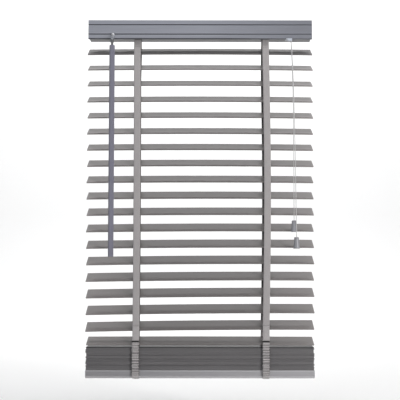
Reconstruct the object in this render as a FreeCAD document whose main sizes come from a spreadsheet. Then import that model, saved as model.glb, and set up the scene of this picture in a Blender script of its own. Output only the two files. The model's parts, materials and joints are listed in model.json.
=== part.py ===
"""A corded venetian blind with 50 mm slats, cloth ladder tapes, a wand tilter and a cord lock.

Millimetres, +Z up, +X to the right of a person facing the blind, -Y towards that person.
The origin is in the plane that the brackets screw up to, at the middle of the four top screws.
"""

import FreeCAD
import Part
import Sketcher
import math
import os
import re

DIMENSIONS = {
    # slats
    "slat_length": 598.0,
    "slat_depth": 50.0,
    "slat_thickness": 3.0,
    "slat_pitch": 43.2,
    "slat_count": 18,
    "first_slat_drop": 78.0,
    "slat_tilt": 23.5,
    "first_slat_tilt": 28.5,
    "slot_length": 16.0,
    "slot_width": 8.0,
    "stack_count": 19,
    "stack_pitch": 3.2,
    "loose_slat_drop": 853.0,
    "loose_slat_tilt": 19.5,
    # ladder tapes
    "left_tape_x": -168.0,
    "right_tape_x": 175.0,
    "tape_width": 18.0,
    "tape_thickness": 0.8,
    "tape_offset": 25.7,
    "rung_width": 3.0,
    "rung_thickness": 0.6,
    "rung_offset": 6.0,
    "rung_gap": 0.2,
    # bottom rail
    "rail_length": 600.0,
    "rail_top_drop": 928.0,
    "rail_height": 21.0,
    "rail_bevel": 7.0,
    "rail_cap": 1.5,
    "rail_bore": 4.0,
    "button_radius": 9.5,
    "button_height": 3.5,
    "button_stem": 7.0,
    "corner_bevel": 1.0,
    # headrail and valance
    "headrail_length": 593.0,
    "headrail_half": 23.0,
    "headrail_top": 2.0,
    "headrail_bottom": 46.0,
    "headrail_wall": 1.0,
    "headrail_lip": 3.0,
    "headrail_cap": 2.0,
    "tape_slot_y": 18.0,
    "tape_slot_width": 6.0,
    "tape_slot_play": 1.0,
    "cord_slot": 10.0,
    "valance_length": 597.0,
    "valance_top": 0.5,
    "valance_bottom": 51.5,
    "valance_front": 34.0,
    "valance_thickness": 6.0,
    "upper_groove": 13.4,
    "lower_groove": 38.8,
    "groove_width": 2.4,
    "groove_depth": 2.0,
    # brackets
    "bracket_x": 270.0,
    "bracket_width": 25.0,
    "bracket_plate": 2.0,
    "bracket_leg": 44.0,
    "bracket_hook": 1.2,
    "bracket_grip": 0.4,
    "screw_radius": 2.5,
    "top_screw_y": 12.0,
    "upper_screw_drop": 15.0,
    "lower_screw_drop": 33.0,
    # tilting shaft
    "shaft_drop": 26.0,
    "rod_side": 6.0,
    "rod_left": -256.0,
    "rod_right": 192.0,
    "drum_reach": 13.0,
    "drum_bar": 4.0,
    "journal_radius": 5.0,
    "journal_gap": 0.4,
    "journal_reach": 3.5,
    "cradle_plate": 2.0,
    "cradle_half": 17.0,
    "strip_inner": 7.0,
    "strip_outer": 12.0,
    "gate_half": 6.0,
    "gate_level": 37.0,
    # tilter
    "tilter_x": -233.0,
    "worm_lean": 45.0,
    "worm_radius": 4.0,
    "worm_length": 15.0,
    "wheel_radius": 9.0,
    "wheel_teeth": 16,
    "wheel_width": 10.0,
    "tooth_height": 1.4,
    "ridge_width": 1.4,
    "ridge_pitch": 2.7,
    "mesh_gap": 0.3,
    "spindle_radius": 2.0,
    "sleeve_radius": 4.6,
    "snout_radius": 4.0,
    "snout_from": 8.0,
    "floor_bore_to": 30.0,
    "valance_bore_from": 20.0,
    "valance_bore_to": 44.0,
    "running_gap": 0.4,
    "fit_gap": 0.2,
    "housing_half": 15.0,
    "housing_back": 14.0,
    "housing_wall": 2.5,
    "ball_radius": 3.6,
    "ball_y": -51.0,
    # wand
    "wand_length": 558.0,
    "wand_radius": 7.25,
    "wand_top": 73.3,
    "cup_wall": 1.2,
    "cup_gap": 0.4,
    "socket_length": 6.5,
    "neck_radius": 3.2,
    # cord lock, cords and tassels
    "lock_left": 229.0,
    "lock_right": 258.0,
    "lock_back": 8.0,
    "lock_top": 20.0,
    "neck_left": 234.0,
    "neck_right": 243.0,
    "neck_front": 18.0,
    "nose_width": 15.5,
    "nose_front": 42.0,
    "nose_level": 58.5,
    "nose_taper": 7.0,
    "nose_flat": 6.5,
    "nose_rise": 9.0,
    "nose_bore": 2.7,
    "nose_bore_x": 241.2,
    "nose_bore_front": 38.5,
    "nose_bore_depth": 4.0,
    "chamber_left": 236.0,
    "chamber_right": 252.0,
    "chamber_front": 13.0,
    "chamber_back": 5.0,
    "chamber_floor": 40.0,
    "roller_left": 237.0,
    "roller_front": 3.0,
    "roller_drop": 36.5,
    "roller_radius": 3.0,
    "roller_length": 14.0,
    "cord_radius": 0.9,
    "cord_spread": 2.2,
    "cord_level": 41.5,
    "eyelet_radius": 4.0,
    "tassel_length": 30.0,
    "tassel_top": 6.3,
    "tassel_base": 8.8,
}

# The free cords, from the bore in the lock's nose to the middle of the tassel's top face.
PULL_CORDS = {
    "pull_cord_left": (
        (241.4, -37.0, -54.6),
        (245.0, -37.0, -120.0),
        (246.9, -37.0, -230.0),
        (247.6, -37.0, -380.0),
        (247.2, -37.0, -536.0),
    ),
    "pull_cord_right": (
        (241.9, -39.8, -54.6),
        (246.0, -40.6, -120.0),
        (248.6, -41.8, -230.0),
        (251.2, -44.0, -390.0),
        (252.3, -46.6, -580.0),
    ),
}

doc = FreeCAD.newDocument("venetian_blind")
sheet = doc.addObject("Spreadsheet::Sheet", "sizes")
for row, (alias, number) in enumerate(DIMENSIONS.items(), start=1):
    sheet.set(f"B{row}", str(number))
    sheet.setAlias(f"B{row}", alias)
doc.recompute()

X_AXIS = FreeCAD.Vector(1, 0, 0)
Z_AXIS = FreeCAD.Vector(0, 0, 1)
nodes = []


def size(alias):
    """A driving dimension's number, read from the sheet."""
    return float(sheet.get(alias))


def formula(text):
    """The text with each dimension's name written as a reference to the sheet."""
    return re.sub(
        r"[a-z][a-z_]*",
        lambda word: f"sizes.{word[0]}" if word[0] in DIMENSIONS else word[0],
        str(text),
    )


def value(text):
    """The number that a formula stands for."""
    return float(sheet.evalExpression(formula(text)))


def node(name, thing, placement=None):
    """Make an object a sub-part with a name of its own, and place it."""
    thing.Label = name
    if placement is not None:
        thing.Placement = placement
    nodes.append(thing)
    return thing


# ---------------------------------------------------------------- building blocks


def box(name, x, y, z):
    """A block between a low and a high formula along each axis."""
    block = doc.addObject("Part::Box", name)
    for side, axis, (low, high) in zip(("Length", "Width", "Height"), "xyz", (x, y, z)):
        block.setExpression(side, formula(f"({high}) - ({low})"))
        block.setExpression(f"Placement.Base.{axis}", formula(low))
    return block


def cylinder(name, radius, length, base, direction=Z_AXIS):
    """A round bar that starts at base and runs along direction."""
    bar = doc.addObject("Part::Cylinder", name)
    bar.Placement.Rotation = FreeCAD.Rotation(Z_AXIS, direction)
    bar.setExpression("Radius", formula(radius))
    bar.setExpression("Height", formula(length))
    for axis, place in zip("xyz", base):
        bar.setExpression(f"Placement.Base.{axis}", formula(place))
    return bar


def ball(name, radius, centre):
    """A sphere about a centre."""
    sphere = doc.addObject("Part::Sphere", name)
    sphere.setExpression("Radius", formula(radius))
    for axis, place in zip("xyz", centre):
        sphere.setExpression(f"Placement.Base.{axis}", formula(place))
    return sphere


def fuse(name, pieces):
    """One solid from several."""
    joined = doc.addObject("Part::MultiFuse", name)
    joined.Shapes = pieces
    return joined


def group(name, pieces):
    """Several separate solids in one object."""
    bundle = doc.addObject("Part::Compound", name)
    bundle.Links = pieces
    return bundle


def cut(name, base, tools):
    """The base without the tools."""
    result = doc.addObject("Part::Cut", name)
    result.Base = base
    result.Tool = tools[0] if len(tools) == 1 else group(f"{name}_tools", tools)
    return result


def draw(sketch, points):
    """Draw a closed outline whose every corner is bound to its two formulas."""
    numbers = [FreeCAD.Vector(value(across), value(up), 0) for across, up in points]
    first = sketch.GeometryCount
    total = len(points)
    for index, start in enumerate(numbers):
        sketch.addGeometry(Part.LineSegment(start, numbers[(index + 1) % total]), False)
    for index in range(total):
        following = first + (index + 1) % total
        sketch.addConstraint(Sketcher.Constraint("Coincident", first + index, 2, following, 1))
    for index, (formulas, start) in enumerate(zip(points, numbers)):
        for kind, text, number in zip(("DistanceX", "DistanceY"), formulas, start):
            dimension = Sketcher.Constraint(kind, -1, 1, first + index, 1, number)
            place = sketch.addConstraint(dimension)
            sketch.setExpression(f"Constraints[{place}]", formula(text))


def sketch_on(body, name, role):
    """An empty sketch on one of the body's own origin planes."""
    sketch = body.newObject("Sketcher::SketchObject", name)
    plane = next(p for p in body.Origin.OriginFeatures if p.Role == role)
    sketch.AttachmentSupport = (plane, [""])
    sketch.MapMode = "FlatFace"
    return sketch


def padded_body(name, role, points, length):
    """A body whose outline is padded evenly to both sides of an origin plane."""
    body = doc.addObject("PartDesign::Body", name)
    sketch = sketch_on(body, f"{name}_outline", role)
    draw(sketch, points)
    pad = body.newObject("PartDesign::Pad", f"{name}_pad")
    pad.Profile = sketch
    pad.SideType = "Symmetric"
    pad.setExpression("Length", formula(length))
    sketch.Visibility = False
    doc.recompute()
    return body


# ---------------------------------------------------------------- slats and ladders


def plain_slat(name):
    """A flat slat about the origin, with a route slot for the lift cord at each tape."""
    blank = box(
        f"{name}_blank",
        ("-slat_length / 2", "slat_length / 2"),
        ("-slat_depth / 2", "slat_depth / 2"),
        ("-slat_thickness / 2", "slat_thickness / 2"),
    )
    slots = [
        box(
            f"{name}_{side}_slot",
            (f"{side}_tape_x - slot_width / 2", f"{side}_tape_x + slot_width / 2"),
            ("-slot_length / 2", "slot_length / 2"),
            ("-slat_thickness", "slat_thickness"),
        )
        for side in ("left", "right")
    ]
    return cut(name, blank, slots)


def tilted(drop, tilt):
    """A placement below the origin, turned about X so that the front edge is the lower one."""
    return FreeCAD.Placement(FreeCAD.Vector(0, 0, -drop), FreeCAD.Rotation(X_AXIS, tilt))


def slat_drop(number):
    """How far slat number 1, 2, 3... hangs below the origin."""
    return size("first_slat_drop") + (number - 1) * size("slat_pitch")


def make_slats():
    """The slats that hang apart, and the cross rungs that each one lies on."""
    first = tilted(size("first_slat_drop"), size("first_slat_tilt"))
    node("slat_01", plain_slat("slat_01"), first)
    for number in range(2, int(size("slat_count")) + 1):
        place = tilted(slat_drop(number), size("slat_tilt"))
        for name, make in ((f"slat_{number:02d}", plain_slat), (f"rungs_{number:02d}", rungs)):
            node(name, make(name), place)


def rungs(name):
    """Two narrow bands under a slat at each tape, from the front tape to the rear one."""
    top = "-slat_thickness / 2 - rung_gap"
    bands = [
        box(
            f"{name}_{side}_{hand}",
            (
                f"{side}_tape_x {sign} rung_offset - rung_width / 2",
                f"{side}_tape_x {sign} rung_offset + rung_width / 2",
            ),
            ("-slat_depth / 2", "slat_depth / 2"),
            (f"{top} - rung_thickness", top),
        )
        for side in ("left", "right")
        for hand, sign in (("inner", "-"), ("outer", "+"))
    ]
    return group(name, bands)


def make_stack():
    """The spare slats: a flat stack on the bottom rail, and a loose one leaning over it."""
    pieces = []
    for number in range(int(size("stack_count"))):
        slat = plain_slat(f"stacked_slat_{number + 1:02d}")
        rise = size("slat_thickness") / 2 + number * size("stack_pitch")
        slat.Placement = tilted(size("rail_top_drop") - rise, 0)
        pieces.append(slat)
    loose = plain_slat("loose_slat")
    loose.Placement = tilted(size("loose_slat_drop"), size("loose_slat_tilt"))
    pieces.append(loose)
    node("stacked_slats", group("stacked_slats", pieces))


def strip(points, thickness):
    """The closed outline of a band of even thickness along a line of (y, z) points."""
    line = [FreeCAD.Vector(0, y, z) for y, z in points]
    sides = ([], [])
    for index, point in enumerate(line):
        before = (point - line[index - 1]).normalize() if index else None
        after = (line[index + 1] - point).normalize() if index + 1 < len(line) else None
        normals = [X_AXIS.cross(run) for run in (before, after) if run is not None]
        normal = sum(normals[1:], normals[0]).normalize()
        reach = thickness / 2 / normal.dot(normals[0])
        sides[0].append(point + normal * reach)
        sides[1].append(point - normal * reach)
    return Part.makePolygon([*sides[0], *reversed(sides[1]), sides[0][0]])


def tape_bands(name, lines):
    """Bands of tape at both tape positions, one for each line of (y, z) points."""
    width = size("tape_width")
    bands = []
    for side in ("left", "right"):
        for points in lines:
            face = Part.Face(strip(points, size("tape_thickness")))
            face.translate(FreeCAD.Vector(size(f"{side}_tape_x") - width / 2, 0, 0))
            bands.append(face.extrude(X_AXIS * width))
    feature = doc.addObject("Part::Feature", name)
    feature.Shape = Part.makeCompound(bands)
    return feature


def make_tapes():
    """The front and rear ladder tapes, and their tails from the last free slat to the rail."""
    offset = size("tape_offset")
    half = size("tape_thickness") / 2
    tilt = math.radians(size("slat_tilt"))
    reach = size("drum_reach") + half
    tail_top = slat_drop(size("slat_count"))
    slot_y = size("tape_slot_y")
    straight_from = size("first_slat_drop") - 6
    for name, way in (("front_tapes", -1), ("rear_tapes", 1)):
        along = (way * math.cos(tilt), way * math.sin(tilt))
        across = (along[1] * way, -along[0] * way)
        end = (along[0] * reach, along[1] * reach - size("shaft_drop"))
        hem = size("drum_bar") / 2
        line = [
            (end[0] - across[0] * hem, end[1] - across[1] * hem),
            (end[0] + across[0] * hem, end[1] + across[1] * hem),
            (way * slot_y, -size("headrail_bottom")),
            (way * offset, -straight_from),
            (way * offset, -tail_top),
        ]
        node(name, tape_bands(name, [line]))
    under = size("rail_top_drop") + size("rail_height") + half + 0.1
    tails = [
        [
            (way * offset, -tail_top - 0.5),
            (way * offset, -under),
            (way * (size("button_radius") + 0.3), -under),
        ]
        for way in (-1, 1)
    ]
    node("tape_tails", tape_bands("tape_tails", tails))


# ---------------------------------------------------------------- bottom rail


def make_bottom_rail():
    """The bottom rail with its bevelled edges and cord bores, its end caps and its buttons."""
    bottom = "rail_top_drop + rail_height"
    half = "slat_depth / 2"
    outline = (
        (f"-({half})", "-rail_top_drop - corner_bevel"),
        (f"-({half} - corner_bevel)", "-rail_top_drop"),
        (f"{half} - corner_bevel", "-rail_top_drop"),
        (half, "-rail_top_drop - corner_bevel"),
        (half, f"-({bottom} - rail_bevel)"),
        (f"{half} - rail_bevel", f"-({bottom})"),
        (f"-({half} - rail_bevel)", f"-({bottom})"),
        (f"-({half})", f"-({bottom} - rail_bevel)"),
    )
    blank = padded_body("rail_blank", "YZ_Plane", outline, "rail_length - 2 * rail_cap")
    bores = [
        cylinder(
            f"{side}_rail_bore",
            "rail_bore",
            "rail_height + 2",
            (f"{side}_tape_x", "0", f"-({bottom}) - 1"),
        )
        for side in ("left", "right")
    ]
    node("bottom_rail", cut("bottom_rail", blank, bores))

    ends = []
    for side, sign in (("left", "-"), ("right", "")):
        cap = padded_body(f"{side}_rail_cap", "YZ_Plane", outline, "rail_cap")
        cap.Placement.Base.x = value(f"{sign}(rail_length / 2 - rail_cap / 2)")
        ends.append(cap)
    node("rail_end_caps", group("rail_end_caps", ends))

    buttons = []
    for side in ("left", "right"):
        head = cylinder(
            f"{side}_button_head",
            "button_radius",
            "button_height",
            (f"{side}_tape_x", "0", f"-({bottom}) - button_height"),
        )
        stem = cylinder(
            f"{side}_button_stem",
            "rail_bore",
            "button_stem + 1",
            (f"{side}_tape_x", "0", f"-({bottom}) - 1"),
        )
        buttons.append(fuse(f"{side}_button", [head, stem]))
    node("rail_buttons", group("rail_buttons", buttons))


# ---------------------------------------------------------------- headrail


def worm_line(distance):
    """The y and z of a point on the worm's axis, that far beyond the worm's middle."""
    lean = math.radians(size("worm_lean"))
    centres = size("wheel_radius") + size("worm_radius") + size("mesh_gap")
    y = -centres * math.sin(lean) - distance * math.cos(lean)
    z = -size("shaft_drop") + centres * math.cos(lean) - distance * math.sin(lean)
    return y, z


def worm_reach(y):
    """How far beyond the worm's middle its axis reaches the depth y."""
    lean = math.radians(size("worm_lean"))
    return (worm_line(0)[0] - y) / math.cos(lean)


def on_worm(name, radius, start, end):
    """A round bar on the worm's axis between two distances from the worm's middle."""
    lean = math.radians(size("worm_lean"))
    y, z = worm_line(start)
    direction = FreeCAD.Vector(0, -math.cos(lean), -math.sin(lean))
    return cylinder(name, radius, end - start, ("tilter_x", y, z), direction)


def make_headrail():
    """The steel channel with its slots, its end caps, and the two clip-on brackets."""
    lip = "headrail_half + headrail_lip"
    top = "headrail_top"
    under_lip = "headrail_top + headrail_wall"
    inner = "headrail_half - headrail_wall"
    floor = "headrail_bottom - headrail_wall"
    right = (
        ("headrail_half", "-headrail_bottom"),
        ("headrail_half", f"-({under_lip})"),
        (lip, f"-({under_lip})"),
        (lip, f"-{top}"),
        (inner, f"-{top}"),
        (inner, f"-({floor})"),
    )
    left = tuple((f"-({y})", z) for y, z in reversed(right))
    channel = padded_body("channel", "YZ_Plane", right + left, "headrail_length")
    floor_cut = ("-headrail_bottom - 1", f"-({floor}) + 1")
    snout_run = (size("snout_from"), size("floor_bore_to"))
    openings = [on_worm("spindle_opening", "snout_radius + fit_gap", *snout_run)]
    tape_half = "(tape_width / 2 + tape_slot_play)"
    slot_inner = "tape_slot_y - tape_slot_width / 2"
    slot_outer = "tape_slot_y + tape_slot_width / 2"
    for side in ("left", "right"):
        for place, half, low, high in (
            ("front", tape_half, f"-({slot_outer})", f"-({slot_inner})"),
            ("rear", tape_half, slot_inner, slot_outer),
            ("middle", "cord_slot / 2", "-cord_slot / 2", "cord_slot / 2"),
        ):
            openings.append(
                box(
                    f"{side}_{place}_opening",
                    (f"{side}_tape_x - {half}", f"{side}_tape_x + {half}"),
                    (low, high),
                    floor_cut,
                )
            )
    neck = (("neck_left", "neck_right"), ("-neck_front", "-lock_back"))
    openings.append(box("lock_opening", *neck, floor_cut))
    node("headrail", cut("headrail", channel, openings))

    ends = [
        box(
            f"{side}_headrail_cap",
            (low, high),
            ("-headrail_half", "headrail_half"),
            ("-headrail_bottom", f"-{top}"),
        )
        for side, low, high in (
            ("left", "-headrail_length / 2 - headrail_cap", "-headrail_length / 2"),
            ("right", "headrail_length / 2", "headrail_length / 2 + headrail_cap"),
        )
    ]
    node("headrail_end_caps", group("headrail_end_caps", ends))


def make_brackets():
    """Two plates that hook round the headrail's lips, with screw holes on top and behind."""
    lip = "headrail_half + headrail_lip"
    outside = f"{lip} + bracket_plate"
    under_lip = "headrail_top + headrail_wall"
    hook = f"{under_lip} + bracket_hook"
    grip = "headrail_half + bracket_grip"
    outline = (
        (f"-({outside})", "0"),
        (f"-({outside})", f"-({hook})"),
        (f"-({grip})", f"-({hook})"),
        (f"-({grip})", f"-({under_lip})"),
        (f"-({lip})", f"-({under_lip})"),
        (f"-({lip})", "-headrail_top"),
        (lip, "-headrail_top"),
        (lip, f"-({under_lip})"),
        (grip, f"-({under_lip})"),
        (grip, f"-({hook})"),
        (lip, f"-({hook})"),
        (lip, "-bracket_leg"),
        (outside, "-bracket_leg"),
        (outside, "0"),
    )
    brackets = []
    for side, sign in (("left", "-"), ("right", "")):
        plate = padded_body(f"{side}_bracket_plate", "YZ_Plane", outline, "bracket_width")
        plate.Placement.Base.x = value(f"{sign}bracket_x")
        centre = f"{sign}bracket_x"
        holes = [
            cylinder(
                f"{side}_{place}_top_hole",
                "screw_radius",
                "headrail_top + 2",
                (centre, y, "-headrail_top - 1"),
            )
            for place, y in (("front", "-top_screw_y"), ("rear", "top_screw_y"))
        ]
        holes += [
            cylinder(
                f"{side}_{place}_back_hole",
                "screw_radius",
                "bracket_plate + 2",
                (centre, f"{lip} - 1", f"-{place}_screw_drop"),
                FreeCAD.Vector(0, 1, 0),
            )
            for place in ("upper", "lower")
        ]
        brackets.append(cut(f"{side}_bracket", plate, holes))
    node("mounting_brackets", group("mounting_brackets", brackets))


def make_valance():
    """The front board, with two long grooves and a bore for the tilter's spindle."""
    back = "-(valance_front - valance_thickness)"
    deep = "-(valance_front - groove_depth)"
    front = "-valance_front"
    half = "groove_width / 2"
    outline = (
        (back, "-valance_top"),
        (f"{front} + corner_bevel", "-valance_top"),
        (front, "-valance_top - corner_bevel"),
        (front, f"-(upper_groove - {half})"),
        (deep, "-upper_groove"),
        (front, f"-(upper_groove + {half})"),
        (front, f"-(lower_groove - {half})"),
        (deep, "-lower_groove"),
        (front, f"-(lower_groove + {half})"),
        (front, "-valance_bottom + corner_bevel"),
        (f"{front} + corner_bevel", "-valance_bottom"),
        (back, "-valance_bottom"),
    )
    board = padded_body("valance_board", "YZ_Plane", outline, "valance_length")
    bore_run = (size("valance_bore_from"), size("valance_bore_to"))
    bore = on_worm("valance_bore", "snout_radius + fit_gap", *bore_run)
    node("valance", cut("valance", board, [bore]))


# ---------------------------------------------------------------- tilting shaft and tilter


def on_shaft():
    """The placement of what turns with the shaft, whose own frame is centred on its axis."""
    return tilted(size("shaft_drop"), size("slat_tilt"))


def square_bore(name, left, right):
    """The square bar that the rod fills, between two x formulas."""
    side = "rod_side / 2"
    return box(name, (left, right), (f"-{side}", side), (f"-{side}", side))


def make_shaft():
    """The square rod, the two ladder drums on it, and the tilter's worm wheel."""
    rod = square_bore("rod_bar", "rod_left", "rod_right")
    node("tilt_rod", group("tilt_rod", [rod]), on_shaft())

    drums = []
    for side in ("left", "right"):
        centre = f"{side}_tape_x"
        journal = cylinder(
            f"{side}_journal",
            "journal_radius",
            "tape_width + 2 * journal_reach",
            (f"{centre} - tape_width / 2 - journal_reach", "0", "0"),
            X_AXIS,
        )
        bar = box(
            f"{side}_drum_bar",
            (f"{centre} - tape_width / 2", f"{centre} + tape_width / 2"),
            ("-drum_reach", "drum_reach"),
            ("-drum_bar / 2", "drum_bar / 2"),
        )
        drum = fuse(f"{side}_drum_blank", [journal, bar])
        bore = square_bore(f"{side}_drum_bore", f"{centre} - 20", f"{centre} + 20")
        drums.append(cut(f"{side}_drum", drum, [bore]))
    node("ladder_drums", group("ladder_drums", drums), on_shaft())

    node("tilter_wheel", worm_wheel(), on_shaft())


def worm_wheel():
    """A toothed wheel on the shaft's axis, with a square bore for the rod."""
    teeth = int(size("wheel_teeth"))
    tip = size("wheel_radius")
    root = tip - size("tooth_height")
    step = 2 * math.pi / teeth
    width = size("wheel_width")
    left = size("tilter_x") - width / 2
    corners = []
    for tooth in range(teeth):
        for radius, share in ((root, -0.32), (tip, -0.14), (tip, 0.14), (root, 0.32)):
            angle = (tooth + share) * step
            corners.append(FreeCAD.Vector(left, radius * math.cos(angle), radius * math.sin(angle)))
    face = Part.Face(Part.makePolygon([*corners, corners[0]]))
    side = size("rod_side")
    bore = Part.makeBox(width, side, side, FreeCAD.Vector(left, -side / 2, -side / 2))
    feature = doc.addObject("Part::Feature", "tilter_wheel")
    feature.Shape = face.extrude(X_AXIS * width).cut(bore)
    return feature


def make_cradles():
    """The stands that carry the drums' journals, fixed to the headrail's floor."""
    floor = "-(headrail_bottom - headrail_wall)"
    cradles = []
    for side in ("left", "right"):
        centre = f"{side}_tape_x"
        inner = f"{centre} - tape_width / 2 - 1"
        outer = f"{centre} + tape_width / 2 + 1"
        plates = [
            box(
                f"{side}_{hand}_plate",
                (low, high),
                ("-cradle_half", "cradle_half"),
                (floor, "-cradle_half"),
            )
            for hand, low, high in (
                ("inner", f"{inner} - cradle_plate", inner),
                ("outer", outer, f"{outer} + cradle_plate"),
            )
        ]
        strips = [
            box(f"{side}_{place}_strip", (inner, outer), (low, high), (floor, f"{floor} + cradle_plate"))
            for place, low, high in (
                ("front", "-strip_outer", "-strip_inner"),
                ("rear", "strip_inner", "strip_outer"),
            )
        ]
        stand = fuse(f"{side}_stand", plates + strips)
        across = (f"{inner} - cradle_plate - 1", f"{outer} + cradle_plate + 1")
        tools = [
            cylinder(
                f"{side}_journal_hole",
                "journal_radius + journal_gap",
                f"({across[1]}) - ({across[0]})",
                (across[0], "0", "-shaft_drop"),
                X_AXIS,
            ),
            box(f"{side}_cord_gate", across, ("-gate_half", "gate_half"), (f"{floor} - 1", "-gate_level")),
        ]
        cradles.append(cut(f"{side}_cradle", stand, tools))
    node("ladder_cradles", group("ladder_cradles", cradles))


def make_tilter():
    """The worm with its spindle and ball, and the housing that holds worm and wheel."""
    ball_at = worm_reach(size("ball_y"))
    half = size("worm_length") / 2
    sleeve_from = worm_reach(-size("valance_front") - size("fit_gap")) + size("sleeve_radius")
    sleeve_to = ball_at - size("ball_radius") - size("neck_radius")
    starts = [-half + size("ridge_pitch") * turn for turn in range(6)]
    ridges = [
        on_worm(f"worm_ridge_{number}", "worm_radius", start, start + size("ridge_width"))
        for number, start in enumerate(starts)
    ]
    core = on_worm("worm_core", "worm_radius - 1.2", -half, half)
    spindle = on_worm("spindle", "spindle_radius", half - 1, ball_at)
    sleeve = on_worm("sleeve", "sleeve_radius", sleeve_from, sleeve_to)
    tip = ball("spindle_ball", "ball_radius", ("tilter_x", *worm_line(ball_at)))
    node("tilter_worm", fuse("tilter_worm", [*ridges, core, spindle, sleeve, tip]))

    wall = "headrail_half - headrail_wall"
    floor = "headrail_bottom - headrail_wall"
    shell = box(
        "tilter_shell",
        ("tilter_x - housing_half", "tilter_x + housing_half"),
        (f"-({wall})", "housing_back"),
        (f"-({floor})", "-headrail_top - 1"),
    )
    snout = on_worm("snout", "snout_radius", size("snout_from"), sleeve_from - size("fit_gap") * 2)
    room = box(
        "tilter_room",
        ("tilter_x - housing_half + housing_wall", "tilter_x + housing_half - housing_wall"),
        (f"-({wall}) + 2", "housing_back - housing_wall"),
        (f"-({floor}) + 2", "-headrail_top - 2.6"),
    )
    ends = ("tilter_x - housing_half - 1", "2 * housing_half + 2")
    rod_hole = cylinder("rod_hole", "journal_radius - 0.2", ends[1], (ends[0], "0", "-shaft_drop"), X_AXIS)
    spindle_hole = on_worm("spindle_hole", "spindle_radius + running_gap", 0, sleeve_from + 4)
    blank = fuse("tilter_blank", [shell, snout])
    inner = fuse("tilter_inside", [room, rod_hole, spindle_hole])
    node("tilter_housing", cut("tilter_housing", blank, [inner]))


def make_wand():
    """The cup that hangs on the spindle's ball, and the six-sided wand below it."""
    ball_z = worm_line(worm_reach(size("ball_y")))[1]
    centre = ("tilter_x", "ball_y", ball_z)
    inside = "ball_radius + cup_gap"
    outside = f"{inside} + cup_wall"
    drop = size("wand_top") + ball_z
    socket_z = ball_z - size("socket_length")
    socket = cylinder("cup_socket", outside, "socket_length", ("tilter_x", "ball_y", socket_z))
    neck_length = drop - size("socket_length")
    neck = cylinder("cup_neck", "neck_radius", neck_length, ("tilter_x", "ball_y", "-wand_top"))
    hollow = ball("cup_hollow", inside, centre)
    blank = fuse("cup_blank", [socket, neck])
    node("wand_cup", cut("wand_cup", blank, [hollow]))

    corners = [
        (f"wand_radius * cos({60 * side})", f"wand_radius * sin({60 * side})") for side in range(6)
    ]
    wand = padded_body("tilt_wand", "XY_Plane", corners, "wand_length")
    middle = -size("wand_top") - size("wand_length") / 2
    place = FreeCAD.Vector(size("tilter_x"), size("ball_y"), middle)
    node("tilt_wand", wand, FreeCAD.Placement(place, FreeCAD.Rotation()))


# ---------------------------------------------------------------- cord lock, cords, tassels


def make_cord_lock():
    """The lock's body with its nose under the valance, and the roller that jams the cords."""
    floor = "-(headrail_bottom - headrail_wall)"
    wall = "-headrail_half + headrail_wall"
    shell = box("lock_shell", ("lock_left", "lock_right"), (wall, "lock_back"), (floor, "-lock_top"))
    neck = box(
        "lock_neck",
        ("neck_left", "neck_right"),
        ("-neck_front", "-lock_back"),
        ("-headrail_bottom", floor),
    )
    outline = (
        ("-lock_back + 3", "-headrail_bottom"),
        ("-lock_back", "-nose_level + nose_rise"),
        ("-nose_front + nose_flat", "-nose_level"),
        ("-nose_front", "-nose_level"),
        ("-nose_front", "-valance_bottom - fit_gap"),
        ("-valance_front + valance_thickness + running_gap", "-valance_bottom - fit_gap"),
        ("-valance_front + valance_thickness + running_gap", "-headrail_bottom"),
    )
    nose = padded_body("lock_nose", "YZ_Plane", outline, "nose_width")
    nose.Placement.Base.x = value("lock_left + nose_width / 2")
    corner = (
        ("lock_left", "-valance_bottom"),
        ("lock_left", "-nose_level"),
        ("lock_left + nose_taper", "-nose_level"),
    )
    taper = padded_body("nose_taper_cut", "XZ_Plane", corner, "2 * nose_front + 2")
    exit_bore = cylinder(
        "nose_exit",
        "nose_bore",
        "nose_bore_depth",
        ("nose_bore_x", "-nose_bore_front", "-nose_level"),
    )
    chamber = box(
        "lock_chamber",
        ("chamber_left", "chamber_right"),
        ("-chamber_front", "chamber_back"),
        ("-chamber_floor", "-lock_top + 1"),
    )
    blank = fuse("lock_blank", [shell, neck, nose])
    node("cord_lock_body", cut("cord_lock_body", blank, [chamber, taper, exit_bore]))

    axle = ("roller_left", "-roller_front", "-roller_drop")
    roller = cylinder("cord_lock_roller", "roller_radius", "roller_length", axle, X_AXIS)
    node("cord_lock_roller", roller)


def cord_path(points, radius=None):
    """Straight runs joined by tangent arcs, each as large as its two runs allow."""
    line = [FreeCAD.Vector(*point) for point in points]
    edges = []
    start = line[0]
    for before, corner, after in zip(line, line[1:], line[2:]):
        into = (corner - before).normalize()
        out = (after - corner).normalize()
        half_turn = into.getAngle(out) / 2
        run = min((corner - before).Length, (after - corner).Length)
        bend = radius or 0.45 * run / math.tan(half_turn)
        reach = bend * math.tan(half_turn)
        first = corner - into * reach
        last = corner + out * reach
        centre = corner + (out - into).normalize() * (bend / math.cos(half_turn))
        middle = centre + (corner - centre).normalize() * bend
        edges.append(Part.LineSegment(start, first).toShape())
        edges.append(Part.Arc(first, middle, last).toShape())
        print(f"  bend radius {bend:.1f} mm")
        start = last
    edges.append(Part.LineSegment(start, line[-1]).toShape())
    return Part.Wire(edges)


def cord_tube(name, points, radius=None):
    """A round cord along a path."""
    thickness = size("cord_radius")
    print(name)
    path = cord_path(points, radius)
    begin = FreeCAD.Vector(*points[0])
    direction = FreeCAD.Vector(*points[1]) - begin
    ring = Part.Wire(Part.Circle(begin, direction, thickness).toShape())
    tube = path.makePipeShell([ring], True, False)
    expected = math.pi * thickness**2 * path.Length
    print(f"  length {path.Length:.1f} mm, volume {tube.Volume:.1f}, expected {expected:.1f} mm3")
    return tube


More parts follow.
